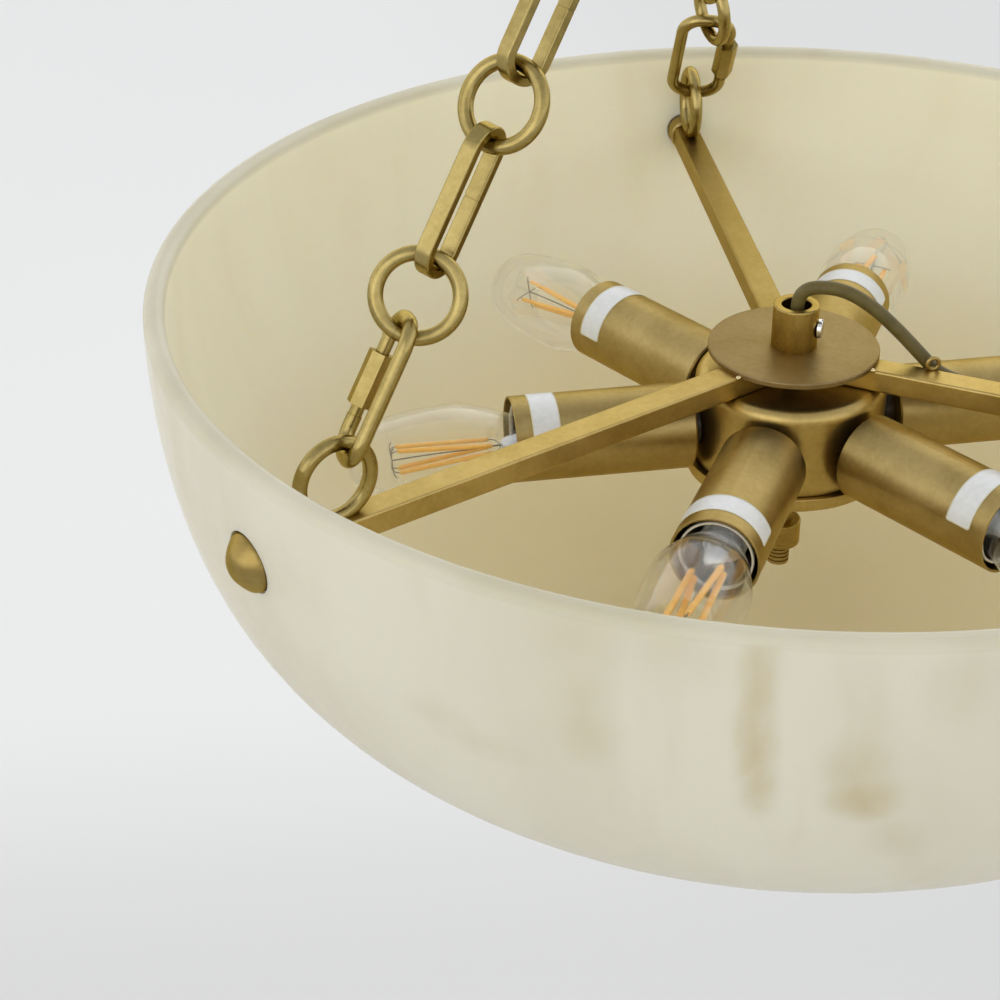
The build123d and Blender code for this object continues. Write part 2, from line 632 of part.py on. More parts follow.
NUT_H = LOOP_TOP + 0.8
CAN_H = NUT_H + 5.0
with BuildPart() as ring_nut:
    with BuildSketch(Plane.XY.offset(zz(NUT_H))):
        Circle(9.6)
        Circle(5.0, mode=Mode.SUBTRACT)
    extrude(amount=5.0)
    for i in range(24):
        with BuildSketch(Plane.XY.offset(zz(NUT_H))):
            with PolarLocations(9.75, 1, start_angle=15 * i):
                Circle(0.55)
        extrude(amount=5.0, mode=Mode.SUBTRACT)
save(ring_nut, "canopy_ring_nut")

CAN_R = 60.0
with BuildPart() as canopy:
    with BuildSketch(Plane.XY.offset(zz(CAN_H))):
        Circle(CAN_R)
    extrude(amount=456.0 - CAN_H)
    fillet(canopy.edges().filter_by(GeomType.CIRCLE).group_by(Axis.Z)[0], 9.0)
    offset(amount=-1.5, openings=canopy.faces().sort_by(Axis.Z)[-1])
    with BuildSketch(Plane.XY.offset(zz(CAN_H) - 1)):
        Circle(5.3)
        with Locations(unit(R_AZ) * 22.0):
            Circle(9.4)
    extrude(amount=8, mode=Mode.SUBTRACT)
save(canopy, "canopy")

with BuildPart() as crossbar:
    with BuildSketch(Plane.YZ.offset(-9.0)):
        z0, z1 = zz(444.0), zz(454.0)
        Polygon((-52, z1), (-31, z1), (-26, z0), (26, z0), (31, z1), (52, z1), (52, z1 + 2), (30, z1 + 2), (25, z0 + 2),
                (-25, z0 + 2), (-30, z1 + 2), (-52, z1 + 2), align=None)
    extrude(amount=18.0)
    with BuildSketch(Plane.XY.offset(zz(440))):
        Circle(5.0)
    extrude(amount=10, mode=Mode.SUBTRACT)
    with BuildSketch(Plane.XY.offset(zz(450))):
        with Locations((0, -41.0), (0, 41.0)):
            SlotOverall(14.0, 5.0, rotation=90)
    extrude(amount=10, mode=Mode.SUBTRACT)
save(crossbar, "crossbar")

with BuildPart() as stem_nuts:
    for h in (439.0, 446.0):
        with BuildSketch(Plane.XY.offset(zz(h))):
            RegularPolygon(8.0, 6, major_radius=False)
            Circle(5.0, mode=Mode.SUBTRACT)
        extrude(amount=5.0)
save(stem_nuts, "stem_nuts")

with BuildPart() as terminal_block:
    with BuildSketch(Plane.XY.offset(zz(437.0))):
        with Locations((20.5, -11.0)):
            RectangleRounded(10.0, 22.0, 1.5)
    extrude(amount=8.0)
    with BuildSketch(Plane.XY.offset(zz(445.0))):
        with Locations((20.5, -18), (20.5, -11), (20.5, -4)):
            Circle(2.0)
    extrude(amount=-4.0, mode=Mode.SUBTRACT)
save(terminal_block, "terminal_block")

# ------------------------------------------------------------- supply cable
CABLE_R = 3.0


def on_chain(tau, off, mu=0.0):
    m = chain_dir(R_AZ).cross(nR)
    return chain_pt(R_AZ, tau) + nR * off + m * mu


def out(s, h):
    # first stretch, in the upright plane that runs from the collar to the arm's far side
    return at(R_AZ, s * 0.985, s * 0.173, h)


route = [out(0, -56.0), out(0, -36.0), out(0, -18.5), out(1.6, -9.6), out(9.5, -6.6), out(21.0, -7.4), out(33.0, -13.9), out(44.0, -23.2),
         out(54.5, -33.6), at(R_AZ, 63.0, CABLE_OFF, -42.6), at(R_AZ, 82.0, CABLE_OFF + 0.3, -45.0),
         at(R_AZ, 112.0, CABLE_OFF, CLIP_H), at(R_AZ, 154.0, CABLE_OFF + 0.4, CLIP_H - 0.6), at(R_AZ, 196.0, CABLE_OFF, CLIP_H),
         at(R_AZ, 217.0, 12.6, -39.0), on_chain(5.0, 18.4, 1.0), on_chain(34.0, 19.4)]
hi = 15.6
sgn = 1
for k in range(1, 6):
    a = 19.2 if k == 1 else hi
    route += [on_chain(PITCH * k - 5.6, a * sgn), on_chain(PITCH * k + 5.6, -hi * sgn)]
    sgn = -sgn
route += [at(R_AZ, 35.5, -9.5, 344.0), at(R_AZ, 27.0, -3.0, 375.0), at(R_AZ, 22.3, 0.3, 404.0), at(R_AZ, 22.0, 0.0, 436.9)]
# the first point pair is in line with the tube, so the second is moved a hair
route[1] = out(0, -35.0) + Vector(0.12, 0.0, 0)
radii = []
for i in range(1, len(route) - 1):
    a, b = route[i] - route[i - 1], route[i + 1] - route[i]
    turn = math.radians(a.get_angle(b))
    radii.append(0.45 * min(a.length, b.length) / math.tan(turn / 2))
with BuildPart() as cable:
    with BuildLine() as cl:
        FilletPolyline(*route, radius=radii)
    w = cl.wire()
    with BuildSketch(Plane(origin=route[0], z_dir=(route[1] - route[0]).normalized())):
        Circle(CABLE_R)
    sweep(path=w)
save(cable, "supply_cable")
print("cable length", round(w.length, 1), "volume ratio", round(cable.part.volume / (math.pi * CABLE_R**2 * w.length), 4))
print("cable radii", [round(r, 1) for r in radii])
print("cable points", [tuple(round(c, 1) for c in p) for p in route])
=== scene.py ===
import json
import math
import random

import bpy
from mathutils import Matrix, Vector


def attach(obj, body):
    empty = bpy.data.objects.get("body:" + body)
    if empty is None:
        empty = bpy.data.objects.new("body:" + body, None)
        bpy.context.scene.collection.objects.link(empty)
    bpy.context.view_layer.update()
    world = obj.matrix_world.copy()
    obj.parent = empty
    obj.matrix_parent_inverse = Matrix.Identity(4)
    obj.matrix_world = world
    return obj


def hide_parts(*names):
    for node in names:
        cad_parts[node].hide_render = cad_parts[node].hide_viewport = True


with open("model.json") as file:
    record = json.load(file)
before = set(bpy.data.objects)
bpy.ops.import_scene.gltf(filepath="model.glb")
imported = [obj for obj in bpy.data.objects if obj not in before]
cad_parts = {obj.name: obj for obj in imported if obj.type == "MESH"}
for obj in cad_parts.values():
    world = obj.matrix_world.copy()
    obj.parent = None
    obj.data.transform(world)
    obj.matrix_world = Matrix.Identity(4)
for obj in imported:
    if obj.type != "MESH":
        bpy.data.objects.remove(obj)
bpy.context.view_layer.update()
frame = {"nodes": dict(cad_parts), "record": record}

random.seed(11)
nodes = frame["nodes"]
MM = 0.001
RIM = -456.0

ARM_AZ = {"left": 210.0, "right": 330.0, "back": 90.0}
LAMP_AZ = {"front": 243.8, "front_right": 303.6, "right": 3.3, "back": 63.3, "back_left": 123.3, "left": 183.3}
SAG = {"front": 0.0, "front_right": 2.0, "right": 3.0, "back": 4.0, "back_left": 4.0, "left": 4.0}
LAMP_H, PIVOT = -71.4, 98.0


def unit(az):
    a = math.radians(az)
    return Vector((math.cos(a), math.sin(a), 0))


def side(az):
    a = math.radians(az)
    return Vector((-math.sin(a), math.cos(a), 0))


def at(az, r, off, h):
    """point in metres; h is measured from the bowl's rim plane, in millimetres"""
    return (unit(az) * r + side(az) * off + Vector((0, 0, h + RIM))) * MM


# ------------------------------------------------------------------ camera
cam_data = bpy.data.cameras.new("camera")
cam = bpy.data.objects.new("camera", cam_data)
bpy.context.scene.collection.objects.link(cam)
bpy.context.scene.camera = cam
cam.location = (-0.2250, -0.8575, -0.0383)
cam.rotation_mode = "QUATERNION"
cam.rotation_quaternion = Vector((0.0951, 0.8494, -0.5192)).to_track_quat("-Z", "Y")
cam_data.lens = 81.25
cam_data.sensor_width = 36.0
cam_data.sensor_fit = "HORIZONTAL"
cam_data.clip_start, cam_data.clip_end = 0.02, 60.0

# ------------------------------------------------------- node tree helpers


class Tree:
    def __init__(self, name):
        self.mat = bpy.data.materials.new(name)
        self.mat.use_nodes = True
        self.nt = self.mat.node_tree
        self.nt.nodes.clear()
        self.out = self.add("ShaderNodeOutputMaterial")
        self.bsdf = self.add("ShaderNodeBsdfPrincipled")
        self.nt.links.new(self.bsdf.outputs[0], self.out.inputs[0])
        self.coord = self.add("ShaderNodeTexCoord")

    def add(self, kind, **props):
        n = self.nt.nodes.new(kind)
        for k, v in props.items():
            setattr(n, k, v)
        return n

    def link(self, a, b):
        self.nt.links.new(a, b)

    def mapping(self, scale=(1, 1, 1), rot=(0, 0, 0), loc=(0, 0, 0), src=None):
        m = self.add("ShaderNodeMapping")
        m.inputs["Scale"].default_value = scale
        m.inputs["Rotation"].default_value = rot
        m.inputs["Location"].default_value = loc
        self.link(src or self.coord.outputs["Object"], m.inputs["Vector"])
        return m.outputs[0]

    def noise(self, scale, detail=3.0, rough=0.55, distort=0.0, src=None):
        n = self.add("ShaderNodeTexNoise")
        n.inputs["Scale"].default_value = scale
        n.inputs["Detail"].default_value = detail
        n.inputs["Roughness"].default_value = rough
        n.inputs["Distortion"].default_value = distort
        self.link(src or self.coord.outputs["Object"], n.inputs["Vector"])
        return n.outputs["Fac"]

    def remap(self, src, a, b, c, d, smooth=False):
        n = self.add("ShaderNodeMapRange")
        if smooth:
            n.interpolation_type = "SMOOTHSTEP"
        n.inputs["From Min"].default_value = a
        n.inputs["From Max"].default_value = b
        n.inputs["To Min"].default_value = c
        n.inputs["To Max"].default_value = d
        self.link(src, n.inputs["Value"])
        return n.outputs["Result"]

    def mix(self, fac, a, b, mode="MIX"):
        n = self.add("ShaderNodeMix", data_type="RGBA", blend_type=mode)
        for socket, v in ((n.inputs["Factor"], fac), (n.inputs[6], a), (n.inputs[7], b)):
            if hasattr(v, "is_linked"):
                self.link(v, socket)
            elif isinstance(v, (int, float)):
                socket.default_value = v
            else:
                socket.default_value = (*v, 1.0)
        return n.outputs[2]

    def math(self, op, a, b=None, clamp=False):
        n = self.add("ShaderNodeMath", operation=op, use_clamp=clamp)
        for i, v in enumerate((a, b)):
            if v is None:
                continue
            if isinstance(v, (int, float)):
                n.inputs[i].default_value = v
            else:
                self.link(v, n.inputs[i])
        return n.outputs[0]

    def bump(self, height, strength, distance, normal=None):
        n = self.add("ShaderNodeBump")
        n.inputs["Strength"].default_value = strength
        n.inputs["Distance"].default_value = distance
        self.link(height, n.inputs["Height"])
        if normal is not None:
            self.link(normal, n.inputs["Normal"])
        return n.outputs[0]

    def set(self, **kw):
        names = {"color": "Base Color", "rough": "Roughness", "metal": "Metallic", "normal": "Normal", "ior": "IOR",
                 "trans": "Transmission Weight", "sss": "Subsurface Weight", "coat": "Coat Weight",
                 "coat_rough": "Coat Roughness", "spec": "Specular IOR Level", "sheen": "Sheen Weight",
                 "aniso": "Anisotropic"}
        for k, v in kw.items():
            s = self.bsdf.inputs[names[k]]
            if isinstance(v, (int, float)):
                s.default_value = v
            elif isinstance(v, tuple):
                s.default_value = (*v, 1.0)
            else:
                self.link(v, s)
        return self.mat


# --------------------------------------------------------------- materials
BRASS_DARK, BRASS_LIGHT = (0.350, 0.255, 0.094), (0.470, 0.354, 0.148)


def brass(name, dark=BRASS_DARK, light=BRASS_LIGHT, rough=(0.33, 0.43), brush=None, grain=0.5):
    """satin brushed brass, with painted shade darkening it in crevices and between parts; brush is the direction of the
    brush lines
    """
    t = Tree(name)
    mott = t.noise(38.0, 4.0, 0.6, 0.4)
    fine = t.noise(420.0, 3.0, 0.6)
    blend = t.math("ADD", t.math("MULTIPLY", mott, 0.7), t.math("MULTIPLY", fine, 0.3))
    col = t.mix(t.remap(blend, 0.36, 0.64, 0, 1), dark, light)
    # painted shade: the colour goes darker where ambient occlusion finds crevices, recesses and gaps between parts
    ao = t.add("ShaderNodeAmbientOcclusion", samples=4)
    ao.inputs["Distance"].default_value = 0.006
    hollow_shade = t.remap(ao.outputs["AO"], 0.35, 0.95, 0.55, 0.0)
    col = t.mix(hollow_shade, col, (dark[0] * 0.46, dark[1] * 0.40, dark[2] * 0.22))
    if brush is not None:
        d = Vector(brush).normalized()
        rot = d.rotation_difference(Vector((1, 0, 0))).to_euler()
        lines = t.noise(1.0, 3.0, 0.65, 0.0, t.mapping((35.0, 2600.0, 2600.0), tuple(rot)))
    else:
        lines = t.noise(2300.0, 2.0, 0.6)
    rg = t.remap(t.math("ADD", t.math("MULTIPLY", lines, 0.55), t.math("MULTIPLY", mott, 0.45)), 0.35, 0.65, *rough)
    n = t.bump(lines, 0.16 * grain, 0.00006)
    n = t.bump(t.noise(170.0, 3.0, 0.55), 0.10 * grain, 0.0003, n)
    t.bsdf.inputs["Specular Tint"].default_value = (0.90, 0.77, 0.46, 1.0)
    return t.set(color=col, metal=1.0, rough=rg, normal=n)


STAINS = [
    # place on the bowl (m), half sizes across and up (m), strength, brown share
    ((-0.0752, -0.2683, -0.4671), 0.006, 0.018, 0.60, 0.45),
    ((-0.0737, -0.2684, -0.4830), 0.0055, 0.020, 0.90, 0.55),
    ((-0.0730, -0.2671, -0.5000), 0.0065, 0.017, 1.00, 0.75),
    ((-0.0689, -0.2649, -0.5200), 0.005, 0.017, 0.75, 0.55),
    ((-0.0340, -0.2703, -0.5253), 0.010, 0.010, 0.80, 0.80),
    ((-0.0390, -0.2725, -0.5110), 0.009, 0.013, 0.50, 0.45),
    ((-0.0208, -0.2655, -0.5481), 0.010, 0.010, 0.40, 0.30),
    ((-0.1254, -0.2453, -0.5088), 0.009, 0.014, 0.45, 0.25),
    ((-0.1266, -0.2469, -0.4920), 0.008, 0.014, 0.32, 0.30),
    ((-0.1314, -0.2459, -0.4690), 0.014, 0.010, 0.30, 0.20),
    ((-0.1607, -0.2192, -0.5286), 0.016, 0.007, 0.38, 0.10),
    ((-0.1741, -0.2105, -0.5220), 0.014, 0.006, 0.30, 0.05),
    ((-0.2245, -0.1634, -0.4915), 0.018, 0.014, 0.35, 0.10),
    ((-0.0955, -0.2617, -0.4681), 0.012, 0.014, 0.28, 0.20),
    ((-0.0087, -0.2783, -0.4733), 0.010, 0.016, 0.30, 0.30),
    ((-0.0793, 0.2516, -0.5177), 0.007, 0.024, 0.45, 0.45),
    ((-0.0828, 0.2435, -0.5430), 0.007, 0.020, 0.38, 0.40),
    ((-0.1824, 0.1940, -0.5045), 0.010, 0.018, 0.40, 0.35),
    ((-0.1967, 0.1842, -0.4728), 0.014, 0.012, 0.38, 0.35),
    ((0.0312, 0.2645, -0.5052), 0.018, 0.012, 0.35, 0.35),
    ((-0.0235, 0.2661, -0.4976), 0.016, 0.012, 0.30, 0.25),
    ((0.1282, 0.2304, -0.5186), 0.020, 0.016, 0.26, 0.25),
    ((0.1405, 0.2289, -0.4845), 0.018, 0.012, 0.30, 0.30),
    ((-0.2439, 0.1104, -0.4951), 0.014, 0.018, 0.30, 0.30),
    ((0.2420, -0.1300, -0.5000), 0.010, 0.024, 0.55, 0.60),
    ((0.1550, -0.2250, -0.5050), 0.012, 0.016, 0.60, 0.50),
    ((0.2100, 0.1750, -0.5100), 0.012, 0.020, 0.55, 0.55),
    ((-0.2700, 0.0300, -0.5050), 0.011, 0.018, 0.45, 0.40),
    ((0.0550, 0.2650, -0.5450), 0.013, 0.016, 0.50, 0.60),
]


def alabaster():
    t = Tree("alabaster_stone")
    obj = t.coord.outputs["Object"]

    def vec(op, *ins):
        n = t.add("ShaderNodeVectorMath", operation=op)
        for i, v in enumerate(ins):
            if isinstance(v, tuple):
                n.inputs[i].default_value = v
            else:
                t.link(v, n.inputs[i])
        return n

    # 1 on the hollow side, whose surface faces the bowl's middle, 0 outside
    rel = vec("SUBTRACT", obj, (0.0, 0.0, RIM * MM)).outputs[0]
    inside = t.remap(vec("DOT_PRODUCT", t.coord.outputs["Normal"], rel).outputs["Value"], -0.10, -0.01, 1.0, 0.0, True)
    sep = t.add("ShaderNodeSeparateXYZ")
    t.link(obj, sep.inputs[0])
    height = sep.outputs["Z"]
    # the stone's bed, pulled out of line by a slow wander
    wander = t.add("ShaderNodeTexNoise")
    wander.inputs["Scale"].default_value = 7.0
    wander.inputs["Detail"].default_value = 2.0
    t.link(obj, wander.inputs["Vector"])
    warped = vec("MULTIPLY_ADD", wander.outputs["Color"], (0.040, 0.040, 0.040), obj).outputs[0]
    clouds = t.noise(13.0, 3.0, 0.50, 0.3, t.mapping((1.0, 1.0, 0.42), src=warped))
    streaks = t.noise(30.0, 3.0, 0.50, 0.2, t.mapping((1.0, 1.0, 0.16), src=warped))
    broad = t.noise(5.5, 2.0, 0.5, 0.0, t.mapping((1.0, 1.0, 0.8), loc=(0.7, 0.3, 0.1)))
    col = t.mix(t.remap(clouds, 0.34, 0.66, 0, 1, True), (0.634, 0.588, 0.455), (0.702, 0.671, 0.552))
    col = t.mix(t.remap(broad, 0.42, 0.64, 0.0, 0.45, True), col, (0.618, 0.600, 0.470))
    col = t.mix(t.remap(streaks, 0.55, 0.80, 0.0, 0.42, True), col, (0.580, 0.508, 0.340))
    col = t.mix(t.remap(streaks, 0.22, 0.42, 0.35, 0.0, True), col, (0.700, 0.676, 0.568))
    # stained veins, soft at their edges
    fine = t.add("ShaderNodeTexNoise")
    fine.inputs["Scale"].default_value = 30.0
    fine.inputs["Detail"].default_value = 3.0
    t.link(obj, fine.inputs["Vector"])
    jig = vec("MULTIPLY_ADD", fine.outputs["Color"], (0.011, 0.011, 0.016), obj).outputs[0]
    edge = t.noise(60.0, 3.0, 0.6, 0.3, t.mapping((1.0, 1.0, 0.45)))
    total, brown = None, None
    for (x, y, z), w, h, k, b in STAINS:
        sub = vec("SUBTRACT", jig, (x + 0.0055, y + 0.0055, z + 0.008)).outputs[0]
        ln = vec("LENGTH", vec("MULTIPLY", sub, (1 / w, 1 / w, 1 / h)).outputs[0])
        m = t.remap(ln.outputs["Value"], 0.0, 1.75, k, 0.0, True)
        mb = t.math("MULTIPLY", m, b)
        total = m if total is None else t.math("MAXIMUM", total, m)
        brown = mb if brown is None else t.math("MAXIMUM", brown, mb)
    total = t.math("MULTIPLY", total, t.remap(edge, 0.30, 0.66, 0.55, 1.0))
    brown = t.math("MULTIPLY", brown, t.remap(edge, 0.36, 0.66, 0.40, 1.0))
    col = t.mix(t.math("MULTIPLY", total, 0.72), col, (0.510, 0.442, 0.262))
    col = t.mix(t.math("MULTIPLY", brown, 0.60), col, (0.450, 0.315, 0.118))
    # the hollow side: pale and yellow, painted lighter than the outside for the light inside the bowl; warmer and
    # darker towards the bottom as painted shade and painted warm light reflected from the brass
    floor_shade_mask = t.remap(height, -0.545, -0.640, 0.0, 1.0, True)
    painted_bounce_warmth = t.mix(floor_shade_mask, (0.848, 0.818, 0.654), (0.836, 0.738, 0.446))
    inner = t.mix(t.remap(clouds, 0.36, 0.64, 0.0, 0.5, True), painted_bounce_warmth, t.mix(floor_shade_mask, (0.872, 0.848, 0.710), (0.860, 0.776, 0.500)))
    inner = t.mix(t.remap(streaks, 0.54, 0.78, 0.0, 0.35, True), inner, t.mix(floor_shade_mask, (0.800, 0.755, 0.545), (0.810, 0.715, 0.430)))
    inner = t.mix(t.math("MULTIPLY", total, 0.28), inner, (0.700, 0.625, 0.370))
    col = t.mix(inside, col, inner)
    # the rim's top is painted darker than the walls: painted shade on its upward face
    col = t.mix(t.remap(height, -0.4615, -0.4575, 0.0, 0.85, True), col, t.mix(t.remap(clouds, 0.4, 0.6, 0, 1), (0.520, 0.488, 0.360), (0.575, 0.550, 0.432)))
    rg = t.remap(t.noise(90.0, 4.0, 0.6), 0.3, 0.7, 0.36, 0.50)
    n = t.bump(t.noise(26.0, 3.0, 0.5), 0.22, 0.0010)
    n = t.bump(t.noise(850.0, 3.0, 0.6), 0.06, 0.0002, n)
    mat = t.set(color=col, rough=rg, normal=n, sss=0.40, spec=0.40)
    t.bsdf.subsurface_method = "RANDOM_WALK"
    t.bsdf.inputs["Subsurface Radius"].default_value = (1.0, 0.80, 0.45)
    t.bsdf.inputs["Subsurface Scale"].default_value = 0.010
    return mat


def plain(name, dark, light, rough, scale=220.0, bump=0.08, dist=0.0001, metal=0.0, **kw):
    t = Tree(name)
    a = t.noise(scale, 4.0, 0.6)
    col = t.mix(t.remap(a, 0.35, 0.65, 0, 1), dark, light)
    rg = t.remap(t.noise(scale * 0.6, 3.0, 0.6), 0.3, 0.7, *rough)
    n = t.bump(t.noise(scale * 6, 3.0, 0.6), bump, dist)
    return t.set(color=col, rough=rg, normal=n, metal=metal, **kw)


def glass(name, tint, rough=0.0, ior=1.45, wave=0.02, alpha=None):
    t = Tree(name)
    n = t.bump(t.noise(55.0, 2.0, 0.5), wave, 0.0004)
    if alpha is not None:
        # thin blown glass: clear face on, showing at its outline
        face = t.add("ShaderNodeLayerWeight")
        face.inputs["Blend"].default_value = 0.5
        t.link(t.remap(t.math("POWER", face.outputs["Facing"], 3.2), 0.0, 1.0, *alpha), t.bsdf.inputs["Alpha"])
    return t.set(color=tint, rough=rough, trans=1.0, ior=ior, normal=n, spec=0.5)


def paper():
    t = Tree("label_paper")
    sep = t.add("ShaderNodeSeparateXYZ")
    t.link(t.coord.outputs["UV"], sep.inputs[0])
    u, v = sep.outputs["X"], sep.outputs["Y"]
    du = t.math("MINIMUM", u, t.math("SUBTRACT", 1.0, u))
    dv = t.math("MINIMUM", v, t.math("SUBTRACT", 1.0, v))
    near = t.math("MINIMUM", t.math("MULTIPLY", du, 4.0), dv)
    body = t.mix(t.remap(t.noise(300.0, 3.0, 0.6), 0.3, 0.7, 0, 1), (0.700, 0.715, 0.720), (0.780, 0.790, 0.790))
    col = t.mix(t.remap(near, 0.015, 0.07, 0.85, 0.0, True), body, (0.66, 0.60, 0.36))
    rg = t.remap(t.noise(400.0, 2.0, 0.5), 0.3, 0.7, 0.30, 0.42)
    n = t.bump(t.noise(140.0, 2.0, 0.5), 0.10, 0.0003)
    return t.set(color=col, rough=rg, normal=n, coat=0.15, coat_rough=0.2)


M = {
    "alabaster": alabaster(),
    "brass": brass("satin_brass"),
    "brass_chain": brass("chain_brass", (0.280, 0.212, 0.072), (0.425, 0.332, 0.128), (0.19, 0.29), grain=1.0),
    "brass_turned": brass("turned_brass", (0.335, 0.233, 0.070), (0.440, 0.320, 0.108), (0.24, 0.34)),
    # painted shade: the dome nuts are painted darker than the other brass to damp their highlight
    "brass_dome": brass("dome_brass_painted_shade", (0.275, 0.192, 0.058), (0.365, 0.266, 0.090), (0.28, 0.38)),
    # painted shade: the top disc is painted darker than the other brass, shading its upward face
    "brass_disc": brass("disc_brass_painted_shade", (0.255, 0.184, 0.083), (0.340, 0.253, 0.126), (0.40, 0.50)),
    # painted light: the hub body and cover are painted lighter than the other brass, a painted reflection on the hub
    "brass_hub": brass("hub_brass_painted_light", (0.430, 0.310, 0.108), (0.570, 0.428, 0.168), (0.30, 0.40)),
    "zinc": plain("zinc_steel", (0.50, 0.50, 0.49), (0.66, 0.66, 0.64), (0.28, 0.42), metal=1.0),
    "bright": plain("bright_steel", (0.74, 0.74, 0.74), (0.84, 0.84, 0.84), (0.12, 0.2), metal=1.0, bump=0.03),
    "rubber": plain("black_rubber", (0.012, 0.012, 0.012), (0.03, 0.03, 0.028), (0.55, 0.7)),
    "holder": plain("holder_phenolic", (0.020, 0.015, 0.010), (0.040, 0.030, 0.020), (0.30, 0.45)),
    "white": plain("white_nylon", (0.74, 0.73, 0.70), (0.82, 0.81, 0.78), (0.4, 0.5)),
    "sheath": plain("cable_sheath", (0.090, 0.068, 0.016), (0.124, 0.096, 0.026), (0.40, 0.52), 160.0, 0.10, 0.0002, spec=0.35),
    "cap": plain("cap_aluminium", (0.62, 0.62, 0.62), (0.74, 0.74, 0.73), (0.25, 0.4), metal=1.0),
    "glass": glass("bulb_glass", (0.985, 0.985, 0.975), alpha=(0.10, 0.85)),
    "stem": plain("stem_glass", (0.80, 0.83, 0.90), (0.95, 0.96, 0.99), (0.12, 0.28), 260.0, 0.60, 0.0006, metal=0.30, coat=0.5, coat_rough=0.05),
    "cream": plain("cream_ceramic", (0.70, 0.66, 0.56), (0.80, 0.76, 0.66), (0.3, 0.45)),
    "stick": plain("filament_coating", (0.960, 0.500, 0.095), (0.990, 0.600, 0.150), (0.42, 0.58), 700.0, 0.15, 0.0002, sss=0.25),
    "wire": plain("support_wire", (0.22, 0.20, 0.17), (0.34, 0.31, 0.26), (0.25, 0.4), metal=1.0),
    "getter": plain("stem_silver", (0.60, 0.60, 0.62), (0.80, 0.80, 0.80), (0.18, 0.35), 500.0, 0.3, 0.0006, metal=1.0),
    "paper": paper(),
    "bead": plain("braze_bead", (0.74, 0.60, 0.34), (0.86, 0.74, 0.50), (0.10, 0.2), 600.0, 0.2, 0.0003, metal=1.0),
}
M["stick"].node_tree.nodes["Principled BSDF"].inputs["Subsurface Scale"].default_value = 0.001
BY_SLOT = {"alabaster": "alabaster", "antique_brass": "brass", "zinc_steel": "zinc", "bright_steel": "bright", "black_rubber": "rubber",
           "black_holder": "holder", "white_plastic": "white", "cable_sheath": "sheath", "clear_glass": "glass", "bulb_cap": "cap",
           "filament": "stick"}
slot_of = {p["node"]: p["material_slot"] for p in frame["record"]["subparts"]}


def give(obj, mat):
    if not obj.data.materials:
        obj.data.materials.append(mat)
    for i in range(len(obj.data.materials)):
        obj.data.materials[i] = mat


for name, obj in nodes.items():
    key = BY_SLOT[slot_of[name]]
    if name.startswith(("chain_rings", "flat_links", "quick_link", "end_rings", "eye_bolts")) or name in ("hanging_ring", "top_loop", "canopy_loop"):
        key = "brass_chain"
    if name in ("knob_nut", "cable_collar", "collector", "canopy_ring_nut"):
        key = "brass_turned"
    if name == "dome_nuts":
        key = "brass_dome"
    if name == "hub_top_disc":
        key = "brass_disc"
    # the hub takes the brass painted lighter (painted reflection)
    if name in ("hub_body", "hub_cover"):
        key = "brass_hub"
    give(obj, M[key])
# painted light and shade: the arms are painted lighter than the other brass, and the back arm is painted darker
for name, az in ARM_AZ.items():
    back_arm_shade = 0.74 if name == "back" else 1.0
    give(nodes[f"arm_{name}"], brass(f"brushed_arm_{name}", (0.435 * back_arm_shade, 0.315 * back_arm_shade, 0.106 * back_arm_shade), (0.570 * back_arm_shade, 0.426 * back_arm_shade, 0.164 * back_arm_shade),
                                     brush=tuple(unit(az))))

# ------------------------------------------------------------- mesh helpers


def mesh_piece(name, verts, faces, mat, body, smooth=True, uvs=None):
    me = bpy.data.meshes.new(name)
    me.from_pydata([tuple(v) for v in verts], [], faces)
    me.update()
    if uvs is not None:
        lay = me.uv_layers.new(name="UVMap")
        for loop in me.loops:
            lay.data[loop.index].uv = uvs[loop.vertex_index]
    if smooth:
        for p in me.polygons:
            p.use_smooth = True
    o = bpy.data.objects.new(name, me)
    bpy.context.scene.collection.objects.link(o)
    me.materials.append(mat)
    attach(o, body)
    return o


class Frame:
    """local frame: x along the lamp, y to its side, z up"""

    def __init__(self, o, x, y, z):
        self.o, self.x, self.y, self.z = o, x, y, z

    def p(self, x, y=0.0, z=0.0):
        return self.o + (self.x * x + self.y * y + self.z * z) * MM

    def polar(self, x, r, a):
        return self.p(x, r * math.cos(a), r * math.sin(a))


def lamp_frame(name):
    az = LAMP_AZ[name]
    return Frame(at(az, 0, 0, LAMP_H), unit(az), side(az), Vector((0, 0, 1)))


def bulb_frame(name):
    az, a = LAMP_AZ[name], math.radians(SAG[name])
    d = unit(az) * math.cos(a) - Vector((0, 0, math.sin(a)))
    up = d.cross(side(az))
    return Frame(at(az, PIVOT, 0, LAMP_H) - d * PIVOT * MM, d, side(az), up)


def lathe(f, prof, seg=48, closed=False, wob=None):
    """turned body: profile of (x, r); closed joins the last point to the first"""
    verts, faces, rings = [], [], []
    for x, r in prof:
        if r < 1e-6:
            rings.append([len(verts)])
            verts.append(f.p(x))
        else:
            rings.append(list(range(len(verts), len(verts) + seg)))
            for i in range(seg):
                a = 2 * math.pi * i / seg
                rr = r if wob is None else r * wob(x, a)
                verts.append(f.polar(x, rr, a))
    pairs = list(zip(rings, rings[1:])) + ([(rings[-1], rings[0])] if closed else [])
    for p, q in pairs:
        for i in range(seg):
            j = (i + 1) % seg
            if len(p) == 1 and len(q) == 1:
                continue
            if len(p) == 1:
                faces.append((p[0], q[j], q[i]))
            elif len(q) == 1:
                faces.append((p[i], p[j], q[0]))
            else:
                faces.append((p[i], p[j], q[j], q[i]))
    return verts, faces


def merge(parts):
    verts, faces = [], []
    for v, fcs in parts:
        k = len(verts)
        verts += v
        faces += [tuple(i + k for i in fc) for fc in fcs]
    return verts, faces


